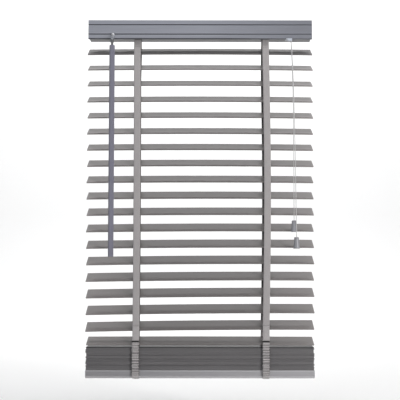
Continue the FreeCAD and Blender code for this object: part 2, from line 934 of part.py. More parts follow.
def make_cords():
    """The lift cords inside the blind, the free pull cords, and the tassels on their ends."""
    bottom = size("rail_top_drop") + size("rail_height") - size("button_stem") - 1
    level = -size("cord_level")
    held = []
    for side, way in (("left", -1), ("right", 1)):
        x = size(f"{side}_tape_x")
        y = way * size("cord_spread")
        route = ((x, y, -bottom), (x, y, level), (size("lock_left"), y, level))
        held.append(cord_tube(f"lift cord, {side}", route, size("eyelet_radius")))
    feature = doc.addObject("Part::Feature", "lift_cords")
    feature.Shape = Part.makeCompound(held)
    node("lift_cords", feature)

    tassels = []
    for name, points in PULL_CORDS.items():
        feature = doc.addObject("Part::Feature", name)
        feature.Shape = cord_tube(name, points)
        node(name, feature)
        x, y, top = points[-1]
        tassel = doc.addObject("Part::Cone", f"{name}_tassel")
        tassel.setExpression("Radius1", formula("tassel_base"))
        tassel.setExpression("Radius2", formula("tassel_top"))
        tassel.setExpression("Height", formula("tassel_length"))
        tassel.Placement.Base = FreeCAD.Vector(x, y, top - size("tassel_length"))
        tassels.append(tassel)
    node("tassels", group("tassels", tassels))


# ---------------------------------------------------------------- the whole blind


def check():
    """Stop at anything that failed to build."""
    for thing in doc.Objects:
        bad = {"Invalid", "Error"} & set(thing.State)
        if bad:
            raise RuntimeError(f"{thing.Name} is {bad}")
    for thing in nodes:
        if thing.Shape.isNull() or not thing.Shape.isValid():
            raise RuntimeError(f"{thing.Label} has no valid shape")


make_slats()
make_stack()
make_tapes()
make_bottom_rail()
make_headrail()
make_brackets()
make_valance()
make_shaft()
make_cradles()
make_tilter()
make_wand()
make_cord_lock()
make_cords()
doc.recompute()
check()

os.makedirs("parts", exist_ok=True)
for thing in nodes:
    thing.Shape.exportStep(f"parts/{thing.Label}.step")
    limits = thing.Shape.optimalBoundingBox(False)
    print(
        f"{thing.Label:20s} {len(thing.Shape.Solids):3d} solids"
        f"  x {limits.XMin:8.1f} {limits.XMax:8.1f}"
        f"  y {limits.YMin:7.1f} {limits.YMax:7.1f}"
        f"  z {limits.ZMin:8.1f} {limits.ZMax:8.1f}"
    )
print(len(nodes), "nodes")
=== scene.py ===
"""A corded venetian blind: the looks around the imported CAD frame. Metres, +Z up."""

import json
import math
import random

import bmesh
import bpy
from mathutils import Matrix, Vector


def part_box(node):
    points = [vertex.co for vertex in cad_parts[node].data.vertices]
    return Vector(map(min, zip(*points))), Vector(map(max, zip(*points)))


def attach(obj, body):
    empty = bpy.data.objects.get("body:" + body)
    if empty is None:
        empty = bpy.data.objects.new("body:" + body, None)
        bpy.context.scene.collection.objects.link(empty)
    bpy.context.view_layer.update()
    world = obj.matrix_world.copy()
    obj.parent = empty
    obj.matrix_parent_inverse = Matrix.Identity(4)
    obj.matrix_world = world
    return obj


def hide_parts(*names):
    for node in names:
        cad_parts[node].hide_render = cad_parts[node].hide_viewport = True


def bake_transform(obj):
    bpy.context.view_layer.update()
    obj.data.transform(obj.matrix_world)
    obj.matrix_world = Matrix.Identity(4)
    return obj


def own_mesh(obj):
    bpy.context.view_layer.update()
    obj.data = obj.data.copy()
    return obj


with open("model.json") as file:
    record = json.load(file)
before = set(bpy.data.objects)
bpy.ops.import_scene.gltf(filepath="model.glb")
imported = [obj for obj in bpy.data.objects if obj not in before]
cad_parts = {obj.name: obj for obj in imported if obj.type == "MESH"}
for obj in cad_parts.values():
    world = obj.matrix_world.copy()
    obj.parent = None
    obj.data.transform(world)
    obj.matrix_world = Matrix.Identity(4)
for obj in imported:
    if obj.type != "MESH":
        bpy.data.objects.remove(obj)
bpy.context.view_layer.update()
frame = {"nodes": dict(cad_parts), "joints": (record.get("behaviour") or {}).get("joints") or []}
NODES = frame["nodes"]
JOINTS = {joint["name"]: joint for joint in frame["joints"]}

SLAT_COUNT = 18
SLAT_LENGTH = 0.602
SLAT_DEPTH = 0.050
SLAT_THICKNESS = 0.003
SLAT_TILT = math.radians(24.2)
FIRST_TILT = math.radians(28.5)
SLAT_Z = [JOINTS[f"slat_{n:02d}_tilt"]["pos_m"][2] for n in range(1, SLAT_COUNT + 1)]

STACK_COUNT = 19
STACK_LENGTH = 0.598
STACK_PITCH = 0.0032
RAIL_LOW, RAIL_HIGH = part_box("bottom_rail")
STACK_TOP = RAIL_HIGH.z + STACK_COUNT * STACK_PITCH
LOOSE_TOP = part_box("stacked_slats")[1].z

BUTTON_RADIUS = 0.0095
BUTTONS_LOW, BUTTONS_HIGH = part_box("rail_buttons")
TAPE_WIDTH = 0.018
TAPE_THICKNESS = 0.0008
TAPE_X = (BUTTONS_LOW.x + BUTTON_RADIUS, BUTTONS_HIGH.x - BUTTON_RADIUS)
TAPE_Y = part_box("tape_tails")[1].y - TAPE_THICKNESS / 2
FOLDS_TOP = LOOSE_TOP - 0.0108
FOLDS_FOOT = RAIL_LOW.z + 0.0066


# ---------------------------------------------------------------- camera


CAMERA_PLACE = (0.0, -2.338, -0.6315)
CAMERA_LENS = 78.84
CAMERA_RISE = 3.71
CAMERA_ROLL = -0.05


def make_camera():
    """A camera in front of the blind, a little below its middle and looking slightly up."""
    data = bpy.data.cameras.new("camera")
    data.sensor_width = 36.0
    data.lens = CAMERA_LENS
    camera = bpy.data.objects.new("camera", data)
    camera.location = CAMERA_PLACE
    camera.rotation_euler = (math.radians(90 + CAMERA_RISE), math.radians(CAMERA_ROLL), 0.0)
    bpy.context.scene.collection.objects.link(camera)
    bpy.context.scene.camera = camera


make_camera()
bpy.context.scene.view_settings.view_transform = "Standard"


# ---------------------------------------------------------------- mesh helpers


def add_object(name, data):
    """A new object in the scene."""
    piece = bpy.data.objects.new(name, data)
    bpy.context.scene.collection.objects.link(piece)
    return piece


def mesh_object(name, build, material):
    """A mesh object made by a function that fills a bmesh."""
    form = bmesh.new()
    build(form)
    bmesh.ops.recalc_face_normals(form, faces=form.faces)
    data = bpy.data.meshes.new(name)
    form.to_mesh(data)
    form.free()
    for polygon in data.polygons:
        polygon.use_smooth = True
    data.materials.append(material)
    return add_object(name, data)


def round_edges(piece, width, segments=2):
    """Rounded edges from a bevel modifier, with flat faces kept flat."""
    bevel = piece.modifiers.new("edges", "BEVEL")
    bevel.width = width
    bevel.segments = segments
    bevel.limit_method = "ANGLE"
    bevel.angle_limit = math.radians(40)
    bevel.harden_normals = True
    for polygon in piece.data.polygons:
        polygon.use_smooth = True


def add_lathe(form, profile, centre, turns=40):
    """A turned form from a profile of (radius, height) points; a radius of 0 closes the end."""
    rings = []
    for radius, height in profile:
        if radius == 0:
            rings.append([form.verts.new(centre + Vector((0, 0, height)))])
            continue
        ring = []
        for step in range(turns):
            angle = 2 * math.pi * step / turns
            offset = Vector((radius * math.cos(angle), radius * math.sin(angle), height))
            ring.append(form.verts.new(centre + offset))
        rings.append(ring)
    for lower, upper in zip(rings, rings[1:]):
        for step in range(turns):
            after = (step + 1) % turns
            if len(lower) == 1:
                form.faces.new((lower[0], upper[step], upper[after]))
            elif len(upper) == 1:
                form.faces.new((lower[step], lower[after], upper[0]))
            else:
                form.faces.new((lower[step], lower[after], upper[after], upper[step]))


def join_rings(form, rings):
    """Side faces between rings of as many points, and a face over each end."""
    count = len(rings[0])
    for lower, upper in zip(rings, rings[1:]):
        for i in range(count):
            j = (i + 1) % count
            form.faces.new((lower[i], lower[j], upper[j], upper[i]))
    form.faces.new(rings[0])
    form.faces.new(list(reversed(rings[-1])))


# ---------------------------------------------------------------- materials


class Nodes:
    """A short way to build a material's node tree."""

    def __init__(self, name):
        self.material = bpy.data.materials.new(name)
        self.material.use_nodes = True
        self.tree = self.material.node_tree
        self.shader = self.tree.nodes["Principled BSDF"]
        self.place = self.node("ShaderNodeTexCoord").outputs["Object"]

    def node(self, kind, **settings):
        """A node with its properties set, and its inputs set by name."""
        made = self.tree.nodes.new(kind)
        for key, setting in settings.items():
            if hasattr(made, key):
                setattr(made, key, setting)
            else:
                made.inputs[key.replace("_", " ")].default_value = setting
        return made

    def link(self, output, target):
        self.tree.links.new(output, target)

    def scaled(self, scale):
        """Object coordinates stretched by a scale for each axis."""
        mapping = self.node("ShaderNodeMapping")
        mapping.inputs["Scale"].default_value = scale
        self.link(self.place, mapping.inputs["Vector"])
        return mapping.outputs["Vector"]

    def noise(self, vector, scale=1.0, detail=4.0, roughness=0.55):
        """A noise value over a vector."""
        made = self.node("ShaderNodeTexNoise", Scale=scale, Detail=detail, Roughness=roughness)
        self.link(vector, made.inputs["Vector"])
        return made.outputs["Fac"]

    def ramp(self, value, stops):
        """Colours along a value."""
        made = self.node("ShaderNodeValToRGB")
        elements = made.color_ramp.elements
        while len(elements) < len(stops):
            elements.new(0.5)
        for element, (position, colour) in zip(elements, stops):
            element.position = position
            element.color = (*colour, 1.0)
        self.link(value, made.inputs["Fac"])
        return made.outputs["Color"]

    def maths(self, operation, a, b):
        """Arithmetic on two values or outputs."""
        made = self.node("ShaderNodeMath", operation=operation)
        for socket, value in zip(made.inputs, (a, b)):
            if isinstance(value, (int, float)):
                socket.default_value = value
            else:
                self.link(value, socket)
        return made.outputs["Value"]

    def range(self, value, low, high, start=0.0, end=1.0):
        """A value between two limits mapped to a range."""
        made = self.node("ShaderNodeMapRange")
        made.inputs["From Min"].default_value = start
        made.inputs["From Max"].default_value = end
        made.inputs["To Min"].default_value = low
        made.inputs["To Max"].default_value = high
        self.link(value, made.inputs["Value"])
        return made.outputs["Result"]

    def bump(self, height, strength, distance):
        """Bump the shader's normal by a height."""
        made = self.node("ShaderNodeBump", Strength=strength, Distance=distance)
        self.link(height, made.inputs["Height"])
        self.link(made.outputs["Normal"], self.shader.inputs["Normal"])

    def along(self, axis):
        """One of the object coordinates."""
        parts = self.node("ShaderNodeSeparateXYZ")
        self.link(self.place, parts.inputs["Vector"])
        return parts.outputs[axis]

    def tinted(self, colour, level):
        """A colour made lighter or darker by a value."""
        made = self.node("ShaderNodeMix", data_type="RGBA", blend_type="MULTIPLY")
        made.inputs["Factor"].default_value = 1.0
        self.link(colour, made.inputs["A"])
        self.link(level, made.inputs["B"])
        return made.outputs["Result"]

    def colour(self, output):
        self.link(output, self.shader.inputs["Base Color"])

    def roughness(self, output):
        self.link(output, self.shader.inputs["Roughness"])


def shade(colour, factor):
    """A colour made lighter or darker."""
    return tuple(min(1.0, channel * factor) for channel in colour)


def painted_wood(name, colour, grain=0.10, roughness=0.42, painted_end_light=1.0, painted_light_and_shade=None):
    """Satin paint over grain along X, with painted light that lightens it towards the ends, and painted
    light and shade laid on by place.
    """
    fine_grain, broad_drift = (9, 620, 620), (3.0, 26, 26)
    made = Nodes(name)
    lines = made.noise(made.scaled(fine_grain), detail=6.0, roughness=0.62)
    drift = made.noise(made.scaled(broad_drift), detail=2.0, roughness=0.5)
    mixed = made.maths("ADD", made.maths("MULTIPLY", lines, 0.7), made.maths("MULTIPLY", drift, 0.3))
    stops = [
        (0.30, shade(colour, 1 - 1.6 * grain)),
        (0.50, colour),
        (0.72, shade(colour, 1 + 1.3 * grain)),
    ]
    coat = made.ramp(mixed, stops)
    # Painted light: the paint grows lighter towards the ends, standing in for the light that reaches the
    # ends more than the middle.
    if painted_end_light != 1.0:
        reach = made.maths("ABSOLUTE", made.along("X"), 0)
        coat = made.tinted(coat, made.range(reach, 1.0, painted_end_light, start=0.12, end=0.29))
    # Painted light and shade, tinting the paint by place.
    if painted_light_and_shade:
        coat = made.tinted(coat, painted_light_and_shade(made))
    made.colour(coat)
    made.shader.inputs["Specular IOR Level"].default_value = 0.3
    made.roughness(made.range(lines, roughness - 0.07, roughness + 0.10))
    made.bump(lines, 0.28, 0.00025)
    return made.material


def valance_painted_shade(made):
    """Painted shade in the valance's two grooves and along its lower edge, stronger to the left, and
    painted shade darkening the paint towards the right.
    """
    lower_edge = -0.0490
    grooves, groove_half = (-0.0130, -0.0384), 0.0012
    height = made.along("Z")
    painted_shade_bands = made.maths("LESS_THAN", height, lower_edge)
    for groove in grooves:
        gap = made.maths("ABSOLUTE", made.maths("SUBTRACT", height, groove), 0)
        painted_shade_bands = made.maths("MAXIMUM", painted_shade_bands, made.maths("LESS_THAN", gap, groove_half))
    # Painted shade: darker paint towards the right end, and painted shade in the grooves that weakens
    # towards the right.
    painted_right_shade = made.range(made.along("X"), 1.0, 0.72, start=0.0, end=0.27)
    depth = made.range(made.along("X"), 0.75, 0.30, start=0.08, end=0.24)
    painted_band_shade = made.maths("MULTIPLY", painted_shade_bands, depth)
    return made.maths("MULTIPLY", painted_right_shade, made.maths("SUBTRACT", 1.0, painted_band_shade))


def rail_painted_highlights(made):
    """Painted highlights on the bottom rail's top edge and lower bevel, and painted light growing towards
    its right end.
    """
    top_band, bevel_band = 0.0020, 0.0060
    height = made.along("Z")
    # Painted highlights: lighter paint along the top edge and the lower bevel.
    top = made.maths("GREATER_THAN", height, RAIL_HIGH.z - top_band)
    bevel = made.maths("LESS_THAN", height, RAIL_LOW.z + bevel_band)
    painted_edge_light = made.maths("ADD", made.maths("MULTIPLY", top, 0.7), made.maths("MULTIPLY", bevel, 0.5))
    # Painted light: the paint grows lighter towards the right end.
    return made.maths("ADD", made.range(made.along("X"), 1.0, 1.4, start=-0.25, end=0.25), painted_edge_light)


def stack_painted_shadow(made):
    """Painted shadow: the slat on top of the stack is darker, as if in the loose slat's shade."""
    under = STACK_TOP - STACK_PITCH
    return made.range(made.along("Z"), 1.0, 0.4, start=under - 0.0002, end=under)


def moulded(name, colour, roughness=0.4):
    """Moulded plastic with a faint orange-peel skin."""
    speck = 0.04
    made = Nodes(name)
    skin = made.noise(made.scaled((1, 1, 1)), 900.0, 3.0, 0.5)
    patch = made.noise(made.scaled((1, 1, 1)), 22.0, 2.0, 0.5)
    made.colour(made.ramp(patch, [(0.3, shade(colour, 1 - speck)), (0.7, shade(colour, 1 + speck))]))
    made.roughness(made.range(patch, roughness - 0.05, roughness + 0.06))
    made.bump(skin, 0.08, 0.0001)
    return made.material


def metal(name, colour, roughness, metallic=1.0):
    """Metal with fine drawn lines along X."""
    made = Nodes(name)
    made.shader.inputs["Metallic"].default_value = metallic
    lines = made.noise(made.scaled((40, 900, 900)), detail=4.0, roughness=0.6)
    made.colour(made.ramp(lines, [(0.3, shade(colour, 0.92)), (0.7, shade(colour, 1.06))]))
    made.roughness(made.range(lines, roughness - 0.06, roughness + 0.08))
    made.bump(lines, 0.10, 0.0001)
    return made.material


def woven(name, colour, painted_light_and_shade=None):
    """A flat woven tape in the XZ plane: warp ribs along Z crossed by finer weft."""
    rib, pick = 0.0011, 0.0011 * 0.72
    unevenness = 0.0004
    turn = 2 * math.pi
    made = Nodes(name)
    wobble = made.noise(made.scaled((1, 1, 1)), 260.0, 2.0, 0.5)
    x = made.maths("ADD", made.along("X"), made.maths("MULTIPLY", wobble, unevenness))
    z = made.maths("ADD", made.along("Z"), made.maths("MULTIPLY", wobble, unevenness))
    warp = made.maths("SINE", made.maths("MULTIPLY", x, turn / rib), 0)
    weft = made.maths("SINE", made.maths("MULTIPLY", z, turn / pick), 0)
    height = made.range(made.maths("MULTIPLY", warp, weft), 0.0, 1.0, start=-1.0, end=1.0)
    fuzz = made.noise(made.scaled((1, 1, 1)), 1500.0, 3.0, 0.6)
    soil = made.noise(made.scaled((30, 30, 8)), detail=3.0, roughness=0.5)
    weave = made.maths("MULTIPLY", height, 0.45)
    dust = made.maths("ADD", made.maths("MULTIPLY", fuzz, 0.25), made.maths("MULTIPLY", soil, 0.30))
    stops = [(0.25, shade(colour, 0.80)), (0.5, colour), (0.78, shade(colour, 1.14))]
    cloth = made.ramp(made.maths("ADD", weave, dust), stops)
    # Painted shade and light, tinting the cloth by place.
    if painted_light_and_shade:
        cloth = made.tinted(cloth, painted_light_and_shade(made))
    made.colour(cloth)
    made.shader.inputs["Roughness"].default_value = 0.9
    made.shader.inputs["Sheen Weight"].default_value = 0.25
    made.shader.inputs["Sheen Roughness"].default_value = 0.5
    made.bump(height, 0.5, 0.0003)
    return made.material


def fold_painted_light_and_shade(made):
    """Painted shade in the valleys of the folded tails and painted light on their crests; no painted shade
    on the flat cloth above and below them.
    """
    hem = FOLDS_TOP + 0.0030
    valley, crest = TAPE_Y + 0.0046, TAPE_Y + 0.0064
    reach = made.maths("ABSOLUTE", made.along("Y"), 0)
    above = made.range(made.along("Z"), 0.0, 1.0, start=hem, end=hem + 0.0006)
    below = made.maths("LESS_THAN", made.along("Z"), FOLDS_FOOT - 0.0006)
    flat = made.maths("MAXIMUM", above, below)
    return made.maths("MAXIMUM", flat, made.range(reach, 0.05, 1.30, start=valley, end=crest))


def braided(name, colour):
    """A fine braided cord: crossed strands that wind round it."""
    made = Nodes(name)
    strands = made.node("ShaderNodeTexWave", Scale=420.0, Distortion=2.0, Detail=1.0)
    strands.bands_direction = "DIAGONAL"
    made.link(made.place, strands.inputs["Vector"])
    made.colour(made.ramp(strands.outputs["Fac"], [(0.2, shade(colour, 0.86)), (0.8, shade(colour, 1.05))]))
    made.shader.inputs["Roughness"].default_value = 0.75
    made.bump(strands.outputs["Fac"], 0.35, 0.0002)
    return made.material


def clear_plastic(name):
    """Clear moulded plastic, a little milky."""
    made = Nodes(name)
    made.shader.inputs["Transmission Weight"].default_value = 0.7
    made.shader.inputs["IOR"].default_value = 1.49
    haze = made.noise(made.scaled((1, 1, 1)), 60.0, 2.0, 0.5)
    made.colour(made.ramp(haze, [(0.3, (0.60, 0.62, 0.66)), (0.7, (0.78, 0.80, 0.84))]))
    made.roughness(made.range(haze, 0.10, 0.22))
    return made.material


SLAT_PAINT = painted_wood("slat_paint", (0.155, 0.142, 0.139), painted_end_light=1.48)
STACK_PAINT = painted_wood("stack_paint", (0.160, 0.153, 0.156), painted_light_and_shade=stack_painted_shadow)
VALANCE_PAINT = painted_wood(
    "valance_paint", (0.286, 0.293, 0.331), grain=0.07, roughness=0.36, painted_light_and_shade=valance_painted_shade
)
RAIL_PAINT = painted_wood("rail_paint", (0.262, 0.256, 0.264), grain=0.07, roughness=0.36, painted_light_and_shade=rail_painted_highlights)
# Painted shade: a darker copy of the slat paint for the first slat, which lies in the valance's shade.
FIRST_SLAT_PAINTED_SHADE = painted_wood("first_slat_painted_shade", (0.118, 0.109, 0.108), painted_end_light=1.35)
TAPE_CLOTH = woven("tape_cloth", (0.38, 0.355, 0.355))
# Painted shade: a near-black copy of the tape cloth for the rear bands, standing in for the shade they hang
# in.
REAR_TAPE_PAINTED_SHADE = woven("rear_tape_painted_shade", (0.070, 0.066, 0.068))
TAIL_CLOTH = woven("tail_cloth", (0.40, 0.375, 0.375), painted_light_and_shade=fold_painted_light_and_shade)
STEEL_PAINT = metal("headrail_paint", (0.135, 0.133, 0.142), 0.4, metallic=0.0)
BRACKET_PAINT = metal("bracket_paint", (0.36, 0.36, 0.38), 0.42, metallic=0.0)
ZINC = metal("zinc_plate", (0.62, 0.62, 0.64), 0.3)
WHITE_PLASTIC = moulded("white_plastic", (0.68, 0.68, 0.70))
LOCK_PLASTIC = moulded("lock_plastic", (0.52, 0.55, 0.62), roughness=0.3)
DARK_PLASTIC = moulded("dark_plastic", (0.13, 0.13, 0.14), roughness=0.35)
WAND_PAINT = moulded("wand_paint", (0.205, 0.200, 0.250), roughness=0.3)
CAP_PLASTIC = moulded("cap_plastic", (0.26, 0.26, 0.28), roughness=0.45)
BUTTON_PLASTIC = moulded("button_plastic", (0.74, 0.74, 0.76), roughness=0.25)
TASSEL_PLASTIC = moulded("tassel_plastic", (0.27, 0.27, 0.29), roughness=0.3)
CORD_BRAID = braided("cord_braid", (0.56, 0.55, 0.55))
CLEAR = clear_plastic("clear_plastic")


def paint(node, material, edges=None, segments=2):
    """Give a CAD node a material, and round its edges."""
    piece = NODES[node]
    for slot in piece.material_slots:
        slot.material = material
    if not piece.material_slots:
        piece.data.materials.append(material)
    if edges:
        round_edges(piece, edges, segments)


# ---------------------------------------------------------------- pull cords and tassels

PULL_CORDS = {
    "pull_cord_left": (
        (0.2414, -0.0370, -0.0546),
        (0.2450, -0.0370, -0.1200),
        (0.2469, -0.0370, -0.2300),
        (0.2476, -0.0370, -0.3800),
        (0.2472, -0.0370, -0.5360),
    ),
    "pull_cord_right": (
        (0.2419, -0.0398, -0.0546),
        (0.2460, -0.0406, -0.1200),
        (0.2486, -0.0418, -0.2300),
        (0.2512, -0.0440, -0.3900),
        (0.2523, -0.0466, -0.5800),
    ),
}
CORD_RADIUS = 0.0009


def spline_points(name, points, steps):
    """Points along the smooth NURBS line that has these control points."""
    curve = bpy.data.curves.new(f"{name}_route", "CURVE")
    curve.dimensions = "3D"
    curve.resolution_u = steps
    spline = curve.splines.new("NURBS")
    spline.points.add(len(points) - 1)
    for target, point in zip(spline.points, points):
        target.co = (*point, 1.0)
    spline.order_u = 3
    spline.use_endpoint_u = True
    route = add_object(f"{name}_route", curve)
    bpy.context.view_layer.update()
    mesh = bpy.data.meshes.new_from_object(route)
    line = [vertex.co.copy() for vertex in mesh.vertices]
    bpy.data.objects.remove(route)
    bpy.data.meshes.remove(mesh)
    return line


def braid_tube(form, line, radius, sides=12, lobes=6):
    """A round tube along a line, with the slight lobes of a twisted braid."""
    lobe_depth, twist = 0.10, 0.9
    rings = []
    for index, point in enumerate(line):
        before = line[max(0, index - 1)]
        after = line[min(len(line) - 1, index + 1)]
        along = (after - before).normalized()
        side = along.cross(Vector((0, 1, 0))).normalized()
        front = along.cross(side)
        ring = []
        for step in range(sides):
            angle = 2 * math.pi * step / sides
            lobe = 1 - lobe_depth * (1 + math.cos(lobes * angle / 2 + index * twist)) / 2
            offset = side * math.cos(angle) + front * math.sin(angle)
            ring.append(form.verts.new(point + offset * radius * lobe))
        rings.append(ring)
    join_rings(form, rings)


def make_lift_cords():
    """The lift cords: along the headrail's floor, down through the slats, and in the bottom rail."""
    level, low, lock_x = -0.0415, -0.941, 0.229
    bend_radius, apart = 0.004, 0.0022
    neck, foot = SLAT_Z[0], LOOSE_TOP - 0.012
    runs = []
    for x, y in zip(TAPE_X, (-apart, apart)):
        bend = []
        for step in range(7):
            angle = math.pi / 2 * step / 6
            bend_x = x + bend_radius * (1 - math.cos(angle))
            bend.append(Vector((bend_x, y, level - bend_radius * (1 - math.sin(angle)))))
        runs.append((Vector((x, 0.0, neck)), *bend, Vector((lock_x, y, level))))
    middles = [evenly((x, 0.0, neck), (x, 0.0, foot), 60) for x in TAPE_X]
    lows = [evenly((x, 0.0, foot), (x, 0.0, low), 8) for x in TAPE_X]
    pieces = {}
    for part, body, lines in (
        ("high", "headrail", runs), ("middle", "headrail", middles), ("low", "bottom_rail", lows),
    ):
        def build(form):
            for line in lines:
                braid_tube(form, line, CORD_RADIUS)

        piece = mesh_object(f"lift_cords_{part}", build, CORD_BRAID)
        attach(piece, body)
        pieces[part] = piece
    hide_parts("lift_cords")
    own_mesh(pieces["middle"])


def evenly(start, end, steps):
    """Points along a straight line."""
    start, end = Vector(start), Vector(end)
    return [start.lerp(end, step / steps) for step in range(steps + 1)]


def make_tassel(name, top):
    """A hollow moulded cone with a rolled collar, hung from the cord's end."""
    profile = [
        (0, -0.0012), (0.0016, -0.0012), (0.0022, -0.0001), (0.0048, 0.0), (0.0058, -0.0006),
        (0.0063, -0.0018), (0.0063, -0.0032), (0.0060, -0.0038), (0.0061, -0.0046),
        (0.0074, -0.0170), (0.0083, -0.0260), (0.0087, -0.0284), (0.0086, -0.0296),
        (0.0080, -0.0300), (0.0072, -0.0296), (0.0068, -0.0280), (0.0054, -0.0100), (0, -0.0085),
    ]
    return mesh_object(name, lambda form: add_lathe(form, profile, Vector(top)), TASSEL_PLASTIC)


def make_pull_cords():
    """The two pull cords and their tassels."""
    for name, points in PULL_CORDS.items():
        line = spline_points(name, points, 50)
        cord = mesh_object(f"{name}_braid", lambda form: braid_tube(form, line, CORD_RADIUS), CORD_BRAID)
        tassel = make_tassel(f"{name}_tassel", points[-1])
        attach(tassel, "tassels")
        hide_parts(name)
        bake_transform(cord)
    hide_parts("tassels")


make_pull_cords()
make_lift_cords()


# ---------------------------------------------------------------- slats


def slat_mesh(form, place, bow=0.0, length=SLAT_LENGTH):
    """A thin board with a route slot at each tape; place puts its own (x, y, z) in the row frame."""
    half, deep, thick = length / 2, SLAT_DEPTH / 2, SLAT_THICKNESS / 2
    slot_half, slot_deep = 0.004, 0.0115
    xs = [-half, half]
    for x in TAPE_X:
        xs += [x - slot_half, x + slot_half]
    xs += [half * share for share in (-0.9, -0.75, -0.4, -0.2, 0.0, 0.2, 0.4, 0.75, 0.9)]
    xs = sorted(xs)
    ys = [-deep, -slot_deep, slot_deep, deep]
    verts = {}

    def corner(key):
        if key not in verts:
            i, j, k = key
            x, y, z = xs[i], ys[j], (thick if k else -thick)
            drop = -bow * (x / half) ** 2
            verts[key] = form.verts.new(place(x, y, z + drop))
        return verts[key]

    def face(*keys):
        form.faces.new([corner(key) for key in keys])

    def solid(i, j):
        if not (0 <= i < len(xs) - 1 and 0 <= j < 3):
            return False
        mid = (xs[i] + xs[i + 1]) / 2
        return not (j == 1 and any(abs(mid - x) < slot_half for x in TAPE_X))

    for i in range(len(xs) - 1):
        for j in range(3):
            if not solid(i, j):
                continue
            right, back = i + 1, j + 1
            face((i, j, 1), (right, j, 1), (right, back, 1), (i, back, 1))
            face((i, j, 0), (i, back, 0), (right, back, 0), (right, j, 0))
            if not solid(i - 1, j):
                face((i, j, 0), (i, j, 1), (i, back, 1), (i, back, 0))
            if not solid(right, j):
                face((right, j, 0), (right, back, 0), (right, back, 1), (right, j, 1))
            if not solid(i, j - 1):
                face((i, j, 0), (right, j, 0), (right, j, 1), (i, j, 1))
            if not solid(i, back):
                face((i, back, 0), (i, back, 1), (right, back, 1), (right, back, 0))


def tilted_place(drop, tilt, roll=0.0, shift=(0.0, 0.0)):
    """A function that puts a slat's own points below the origin, tilted front edge down."""
    cosine, sine = math.cos(tilt), math.sin(tilt)

    def place(x, y, z):
        y, z = y * cosine - z * sine, y * sine + z * cosine
        return Vector((x + shift[0], y + shift[1], z + drop + x * roll))

    return place


def hang(number):
    """Where a hanging slat lies: its tilt strays a little and the lower ones slope up to the right."""
    level_count, slope_step = 8, math.radians(0.055)
    stray = math.radians(0.4 if number in (2, 4) else 0.08 * math.sin(7.3 * number))
    tilt = (FIRST_TILT if number == 1 else SLAT_TILT) + stray
    slope = slope_step * max(0, number - level_count)
    shift = (0.0006 * math.sin(4.1 * number), 0.0)
    return tilted_place(SLAT_Z[number - 1], tilt, slope, shift)


def add_slats(name, build, material, rounding):
    """A piece made of one or more slats with rounded edges."""
    piece = mesh_object(name, build, material)
    round_edges(piece, 0.0009, rounding)
    return piece


def make_slats():
    """The slats that hang apart, each a slightly different board."""
    rng = random.Random(7)
    for number in range(1, SLAT_COUNT + 1):
        bow = rng.uniform(0.00205, 0.00215)
        place = hang(number)
        name = f"slat_{number:02d}"
        # The first slat takes the darker painted-shade copy of the slat paint.
        coat = FIRST_SLAT_PAINTED_SHADE if number == 1 else SLAT_PAINT
        slat = add_slats(f"{name}_board", lambda form: slat_mesh(form, place, bow), coat, 3)
        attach(slat, name)
        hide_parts(name)


def make_stack():
    """The spare slats on the bottom rail, not quite in line, and the loose one over them."""
    rng = random.Random(11)
    sideways, forward, backward = 0.0012, -0.0012, 0.0014

    def build(form):
        for number in range(STACK_COUNT):
            shift = (rng.uniform(-sideways, sideways), rng.uniform(forward, backward))
            if number == STACK_COUNT - 1:
                shift = (0.0, backward)
            height = RAIL_HIGH.z + SLAT_THICKNESS / 2 + number * STACK_PITCH
            place = tilted_place(height, 0.0, rng.uniform(-0.0002, 0.0002), shift)
            slat_mesh(form, place, rng.uniform(-0.0001, 0.0001), STACK_LENGTH)

    stack = add_slats("slat_stack", build, STACK_PAINT, 2)
    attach(stack, "bottom_rail")
    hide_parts("stacked_slats")

    tilt, bow, shift = math.radians(19.5), 0.0008, (0.0006, -0.0014)
    drop = LOOSE_TOP - SLAT_DEPTH / 2 * math.sin(tilt) - SLAT_THICKNESS / 2 * math.cos(tilt)
    place = tilted_place(drop, tilt, 0.0, shift)
    loose = add_slats("loose_slat", lambda form: slat_mesh(form, place, bow, STACK_LENGTH), SLAT_PAINT, 3)
    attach(loose, "bottom_rail")


make_slats()
make_stack()


# ---------------------------------------------------------------- ladder tapes


def band(form, line, x, lean=None):
    """A tape along a line of (y, z) points, with a little crown and soft edges."""
    across = 6
    points = [Vector((0, y, z)) for y, z in line]
    rings = []
    for index, point in enumerate(points):
        before = points[max(0, index - 1)]
        after = points[min(len(points) - 1, index + 1)]
        along = (after - before).normalized()
        normal = Vector((1, 0, 0)).cross(along).normalized()
        shift = lean(point.z) if lean else 0.0
        ring = []
        for side in (1, -1):
            for step in range(across + 1):
                share = step / across - 0.5
                edge = 1 - 0.45 * (2 * abs(share)) ** 6
                offset = normal * side * TAPE_THICKNESS / 2 * edge
                place = Vector((x + shift + share * TAPE_WIDTH * side, 0, 0)) + point + offset
                ring.append(form.verts.new(place))
        rings.append(ring)
    join_rings(form, rings)


def fold_lean(x, top):
    """How far the folds of a tail stray sideways, growing below the last hanging slat."""
    start, grow_over, middle = top - 0.034, 0.012, -0.0010

    def lean(z):
        grown = min(1.0, max(0.0, (start - z) / grow_over))
        wave = 0.0006 * math.sin(1480 * z + 40 * x) + 0.0004 * math.sin(613 * z)
        return grown * (wave + middle)

    return lean


def tape_lean(x, way):
    """How far a tape strays sideways at a height: the right one bows outwards half way down."""
    reach, low_end = (0.0045, 0.0015) if x > 0 else (0.0008, 0.0)
    rear_shift = 0.0018
    top, low = SLAT_Z[0], SLAT_Z[-1]

    def lean(z):
        share = min(1.0, max(0.0, (top - z) / (top - low)))
        back = rear_shift * min(1.0, 10 * share) if way > 0 else 0.0
        return reach * math.sin(math.pi * share) - low_end * share - back

    return lean


